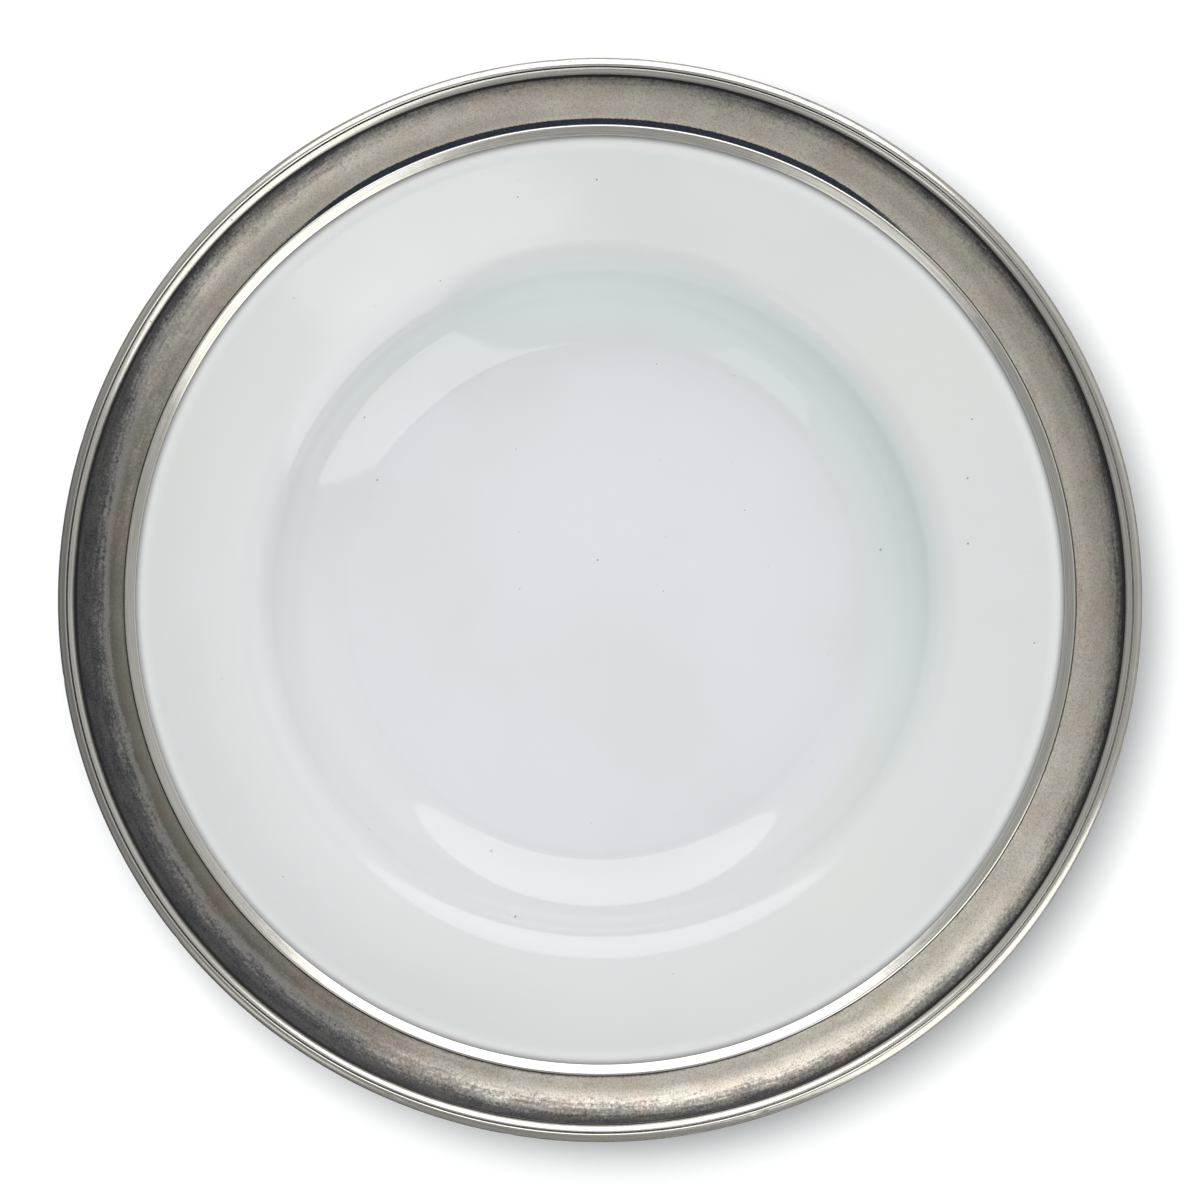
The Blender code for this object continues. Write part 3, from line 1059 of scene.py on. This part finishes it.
def shaded_line_masks(tree, wear, outward, grain):
    """Masks of the line in the grooves and behind the lip, partly grime and partly painted shade,
    and of the painted shade under the step.
    """
    step_shade = band(tree, outward, *STEP_LINE)
    kept = around(tree, (0.95, 0.9, 0.9, 0.95, 0.3, 0.9, 0.9, 0.8))
    step_shade = times(tree, step_shade, kept)
    # The line behind the lip is widened with painted shade at the far end.
    spikes = plus(tree, 0.0001, times(tree, grain, 0.0016))
    painted_extra = times(tree, ramp(tree, compass(tree, 0.0), 0.75, 0.9), spikes)
    inside = ramp(tree, minus(tree, outward, painted_extra), *LIP_LINE_END, 1.0, 0.0)
    at_lip = times(tree, ramp(tree, outward, *LIP_FOOT), inside)
    groove_grime_and_shade = calc(tree, "MAXIMUM", wear["Groove"], at_lip)
    return times(tree, groove_grime_and_shade, wear["Ends"]), step_shade


print("step line from", STEP_LINE[0] / MM, "to", STEP_LINE[-1] / MM, "mm")


# %% Pewter material
# Where the uneven patina sets in, in metres from the axis.
PATINA_START = (0.109, 0.113)


def pewter_material():
    made, tree, shader = material("pewter", (0.42, 0.40, 0.37))
    outward = vector_calc(tree, "LENGTH", [off_axis(tree)])
    reach = around(tree, (0.0, 0.04, 0.07, 0.05, 0.135, 0.24, 0.31, 0.05))
    reach = times(tree, reach, ramp(tree, outward, *PATINA_START))
    wear = group(
        tree, WEAR, Start=0.22, End=0.36, Break_up=0.28, Slope=1.0, Reach=reach,
        Toward=math.radians(251), Ends=1.0, Far_end=0.45, Seed=1.0,
    )
    lines = group(tree, STREAKS, Around=9.0, Across=4600.0, Detail=2.0, Seed=2.0)[0]
    hatch = group(tree, STREAKS, Around=430.0, Across=420.0, Detail=2.0, Seed=6.0)[0]
    broad = group(tree, STREAKS, Around=14.0, Across=650.0, Detail=4.0, Seed=7.0)[0]
    warm = noise(tree, 0.012, 4.0, 21.0, rough=0.6)
    rosy = ramp(tree, warm, 0.48, 0.62, 0.0, 0.6)
    olive = ramp(tree, warm, 0.46, 0.34, 0.0, 0.6)
    grain = noise(tree, 0.00035, 4.0, 9.0, rough=0.85)
    # From here on the zones have ragged edges.
    outward = plus(tree, outward, times(tree, minus(tree, grain, 0.5), 0.0006))
    bright = pewter_metal(tree, wear, outward, grain, lines, broad, rosy, olive)

    thin_patina = mix(tree, rosy, (0.19, 0.185, 0.175), (0.23, 0.19, 0.155))
    streaked = ramp(tree, broad, 0.38, 0.62)
    deep = mix(tree, streaked, (0.013, 0.016, 0.023), (0.042, 0.042, 0.043))
    worn_through = ramp(tree, grain, 0.40, 0.62, 0.22, 0.0)
    patina = layers(
        tree, thin_patina, (wear["Depth"], deep), (worn_through, (0.24, 0.225, 0.20))
    )
    grime = times(tree, wear["Grime"], minus(tree, 1.0, wear["Polish"]))
    cover = plus(tree, 0.87, times(tree, wear["Depth"], 0.11))

    grime_and_shade_line, step_shade = shaded_line_masks(tree, wear, outward, grain)
    inky = ramp(tree, grain, 0.42, 0.60)
    blue_black = mix(tree, inky, (0.006, 0.009, 0.015), (0.022, 0.034, 0.055))
    pit = group(tree, SPECKS, Cell=0.0045, Size=0.00016, Share=0.10, Seed=0.7)[0]
    colour = layers(
        tree,
        bright,
        (times(tree, grime, cover), patina),
        # Painted shade under the step, then the line in the grooves, partly grime and partly
        # painted shade.
        (step_shade, (0.020, 0.019, 0.019)),
        (grime_and_shade_line, blue_black),
        (times(tree, pit, 0.7), (0.03, 0.03, 0.035)),
    )
    tree.links.new(colour, shader["Base Color"])

    lined = calc(tree, "MAXIMUM", grime_and_shade_line, step_shade)
    stain = calc(tree, "MAXIMUM", times(tree, grime, 0.8), lined)
    tree.links.new(minus(tree, 1.0, times(tree, stain, 0.4)), shader["Metallic"])
    rough = plus(tree, 0.33, times(tree, grain, 0.14))
    rough = minus(tree, rough, times(tree, wear["Polish"], 0.26))
    rough = plus(tree, rough, times(tree, lines, 0.05))
    tree.links.new(plus(tree, rough, times(tree, stain, 0.2)), shader["Roughness"])

    untouched = minus(tree, 1.0, times(tree, wear["Polish"], 0.85))
    swell = bump(tree, noise(tree, 0.006, 2.0, 14.0), 0.00004)
    turned = bump(tree, times(tree, lines, untouched), 0.000018, swell)
    crossed = bump(tree, times(tree, hatch, untouched), 0.000012, turned)
    sand = bump(tree, times(tree, grain, untouched), 0.000018, crossed)
    tree.links.new(bump(tree, minus(tree, 1.0, pit), 0.00008, sand), shader["Normal"])
    return made


PEWTER = pewter_material()
print("pewter:", len(PEWTER.node_tree.nodes), "nodes")

# %% [markdown]
# ## Bedding compound
#
# Only a thin line of it shows, from below, between the ledge and the dish. It is a soft pale
# grey sealant that was wiped with a finger, so it is lumpy along the ring and has picked up
# some dirt and a few pinholes.


# %% Bedding material
def bedding_material():
    made, tree, shader = material("bedding_compound", (0.70, 0.69, 0.65), IOR=1.42)
    wear = group(tree, WEAR, Start=-0.1, End=0.5, Break_up=0.5, Slope=0.0, Seed=8.0)
    smear = group(tree, STREAKS, Around=40.0, Across=500.0, Detail=3.0, Seed=5.0)[0]
    hole = group(tree, SPECKS, Cell=0.0025, Size=0.0002, Share=0.15, Seed=4.1)[0]
    colour = layers(
        tree,
        (0.60, 0.59, 0.55),
        (smear, (0.74, 0.73, 0.69)),
        (times(tree, wear["Grime"], 0.35), (0.22, 0.20, 0.18)),
        (times(tree, hole, 0.6), (0.2, 0.19, 0.18)),
    )
    tree.links.new(colour, shader["Base Color"])
    rough = plus(tree, 0.42, times(tree, smear, 0.25))
    tree.links.new(rough, shader["Roughness"])
    lumps = bump(tree, smear, 0.00012)
    tree.links.new(bump(tree, noise(tree, 0.0015, 3.0, 15.0), 0.00006, lumps), shader["Normal"])
    return made


SEALANT = bedding_material()
print("bedding:", len(SEALANT.node_tree.nodes), "nodes")

# %% [markdown]
# ## Turning the three pieces
#
# Each outline is turned, given its finish and set in the place of its CAD node. The bedding is
# a thin L in the channel; its inner end swells a little past the ledge, as squeezed compound
# does.


# %% Turn, check and place a piece
def turned_piece(name, node, points, closed, finish, turning, dings=()):
    """One finished piece, from its outline to its place in the frame."""
    piece = profile_object(name, points, closed)
    nodes_modifier(piece, turn_outline, {"Ring": SWEEP_RING, "Material": finish, **turning})
    for values in dings:
        nodes_modifier(piece, dings_along_ring, {"Material": finish, **values})
    bpy.context.view_layer.update()
    evaluated = piece.evaluated_get(bpy.context.evaluated_depsgraph_get())
    mesh = bpy.data.meshes.new_from_object(evaluated)
    piece.modifiers.clear()
    piece.data = mesh
    # The sum of these corners' volumes is negative when the faces look inwards.
    mesh.calc_loop_triangles()
    volume = 0.0
    for triangle in mesh.loop_triangles:
        a, b, c = (mesh.vertices[i].co for i in triangle.vertices)
        volume += a.dot(b.cross(c)) / 6
    if volume < 0:
        mesh.flip_normals()
    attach(piece, "root")
    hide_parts(node)
    print(name, len(mesh.loop_triangles), "triangles,", round(abs(volume) * 1e6, 2), "cm3")


def bedding_outline():
    inner_radius = EDGE_RADIUS + GAP
    outer_radius = inner_radius + BEDDING
    outer = arc(edge_centre, outer_radius, 12, under_angle - 90, 8.0)
    inner = arc(edge_centre, inner_radius, under_angle - 90, 12, 8.0)
    bead = tongue(outer[-1], inner[0], under_angle + 180, 3.2, 0.25)
    return spread(outer + bead + inner, 1.2)


turned_piece(
    "glazed_dish", "ceramic_dish", dish_points, False, GLAZE,
    {"Segments": 480, "Waver": 0.00004, "Waver size": 0.05, "Seed": 2.0},
)
turned_piece(
    "bedding_bead", "bedding_ring", bedding_outline(), True, SEALANT,
    {"Segments": 360, "Waver": 0.00006, "Waver size": 0.008, "Seed": 5.0},
)
turned_piece(
    "turned_rim", "pewter_rim", rim_points, True, PEWTER,
    {"Segments": 560, "Waver": 0.00004, "Waver size": 0.03, "Seed": 9.0},
    [
        {"Count": 34, "Ring": reed_centre.x * MM, "Height": reed_centre.y * MM,
         "Reed": REED_RADIUS * MM, "Highest tilt": 1.6, "Seed": 4},
        {"Count": 16, "Ring": (crest.x - 1.4) * MM, "Height": (crest.y - 0.4) * MM,
         "Reed": 0.0004, "Lowest tilt": 1.2, "Highest tilt": 1.9, "Depth": 0.00007, "Seed": 7},
    ],
)

# %% [markdown]
# ## The table
#
# The bowl stands on a plain pale surface. It is scenery and not part of the object. In the
# photograph the ground is white right up to the metal, except for a short soft shadow at the
# lower right. A lamp nearly overhead, a little to the upper left, gives that. It lights only the
# floor, so it leaves the glaze and the metal as they are, and the three lights that they mirror
# leave the floor out.

# %% Pale floor with a light of its own
TABLE_SIZE = 4.0
TABLE_DROP = 0.0002
bpy.ops.mesh.primitive_plane_add(size=TABLE_SIZE, location=(0, 0, -TABLE_DROP))
floor = bpy.context.object
floor.name = "floor"
paper, paper_tree, paper_shader = material("pale_paper", (0.9, 0.9, 0.9), Roughness=0.85)
tooth = noise(paper_tree, 0.002, 4.0)
paper_colour = mix(paper_tree, tooth, (0.90, 0.90, 0.90), (0.92, 0.92, 0.92))
paper_tree.links.new(paper_colour, paper_shader["Base Color"])
floor.data.materials.append(paper)

floor_light = softbox("floor_light", "RECTANGLE", (310, 10), 0.56, 0.56, 19.0)
lit_floor = bpy.data.collections.new("lit by the floor light")
lit_floor.objects.link(floor)
floor_light.light_linking.receiver_collection = lit_floor
all_but_floor = bpy.data.collections.new("all but the floor")
all_but_floor.objects.link(floor)
all_but_floor.collection_objects[0].light_linking.link_state = "EXCLUDE"
for lamp in softboxes:
    lamp.light_linking.receiver_collection = all_but_floor
